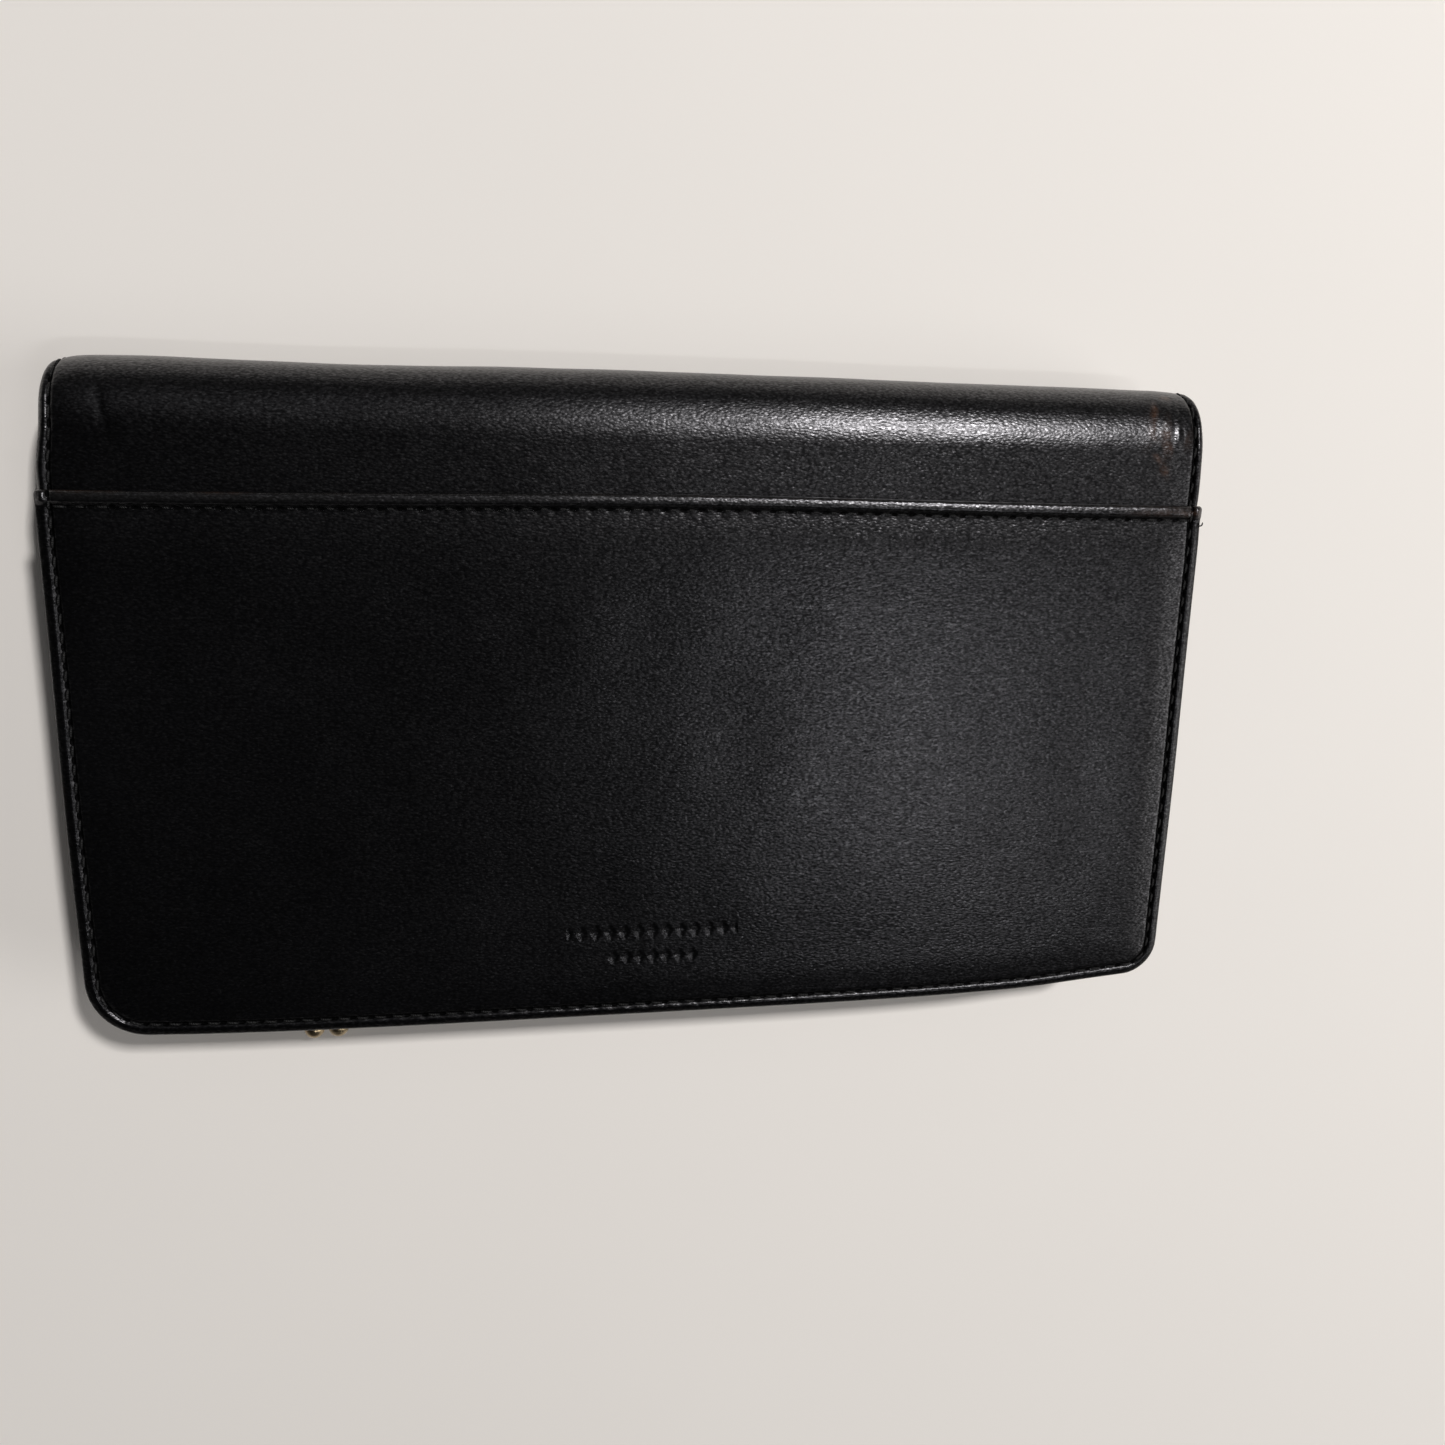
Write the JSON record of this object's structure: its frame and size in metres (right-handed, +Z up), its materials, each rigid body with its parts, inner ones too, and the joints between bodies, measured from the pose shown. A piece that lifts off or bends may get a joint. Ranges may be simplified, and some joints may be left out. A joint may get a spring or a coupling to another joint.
{
  "type": "long wallet",
  "caption": "Black leather bi-fold long wallet with an outer slip pocket, card slots, and a kiss-lock coin pouch in its front half.",
  "frame": {"origin": "on the front face that the wallet rests on, at the middle of its length and of its depth", "axes": "+X along the length, +Y from the free edges to the fold, +Z up out of the back face, which carries the slip pocket"},
  "size_m": [0.19, 0.1184, 0.0213],
  "materials": {
    "cover_leather": "smooth black, fine pebble grain, semi-gloss",
    "inner_leather": "smooth black, satin",
    "lining": "fine black twill",
    "stiffener_board": "grey paperboard",
    "padding": "soft foam sheet",
    "aged_brass": "aged, worn",
    "snap_brass": "satin",
    "washer_steel": "plain"
  },
  "bodies": {
    "front_half": {"cover_front": "cover_leather", "fold_lining_front": "lining", "front_board": "stiffener_board", "front_padding": "padding", "front_lining": "lining", "slip_pocket": "inner_leather", "snap_socket": "snap_brass", "snap_socket_washer": "washer_steel", "coin_frame_fixed_jaw": "aged_brass", "pivot_rivet_left": "aged_brass", "pivot_rivet_right": "aged_brass", "kiss_ball_fixed": "aged_brass", "coin_pouch_outer_wall": "lining", "coin_pouch_inner_wall": "inner_leather", "coin_gusset_left": "lining", "coin_gusset_right": "lining"},
    "coin_jaw": {"coin_frame_moving_jaw": "aged_brass", "kiss_ball_moving": "aged_brass", "coin_mouth_leather": "cover_leather"},
    "spine": {"cover_spine": "cover_leather", "fold_lining_spine": "lining"},
    "back_half": {"cover_back": "cover_leather", "fold_lining_back": "lining", "back_pocket": "cover_leather", "back_board": "stiffener_board", "back_lining": "lining", "bill_divider": "inner_leather", "card_slot_left_1": "inner_leather", "card_slot_left_2": "inner_leather", "card_slot_left_3": "inner_leather", "card_slot_right_1": "inner_leather", "card_slot_right_2": "inner_leather", "card_slot_right_3": "inner_leather", "snap_stud": "snap_brass", "snap_stud_washer": "washer_steel"}
  },
  "joints": [
    {"name": "front_crease", "type": "hinge", "parent": "front_half", "child": "spine", "pos_m": [0, 0.0511, 0.0029], "axis": [-1, 0, 0], "range_deg": [0, 90]},
    {"name": "back_crease", "type": "hinge", "parent": "spine", "child": "back_half", "pos_m": [0, 0.0511, 0.0184], "axis": [-1, 0, 0], "range_deg": [0, 90]},
    {"name": "coin_pivots", "type": "hinge", "parent": "front_half", "child": "coin_jaw", "pos_m": [-0.061, -0.0245, 0.00395], "axis": [1, 0, 0], "range_deg": [0, 60]}
  ],
  "couplings": [
    {"joint": "front_crease", "follows": "back_crease", "ratio": 1}
  ]
}
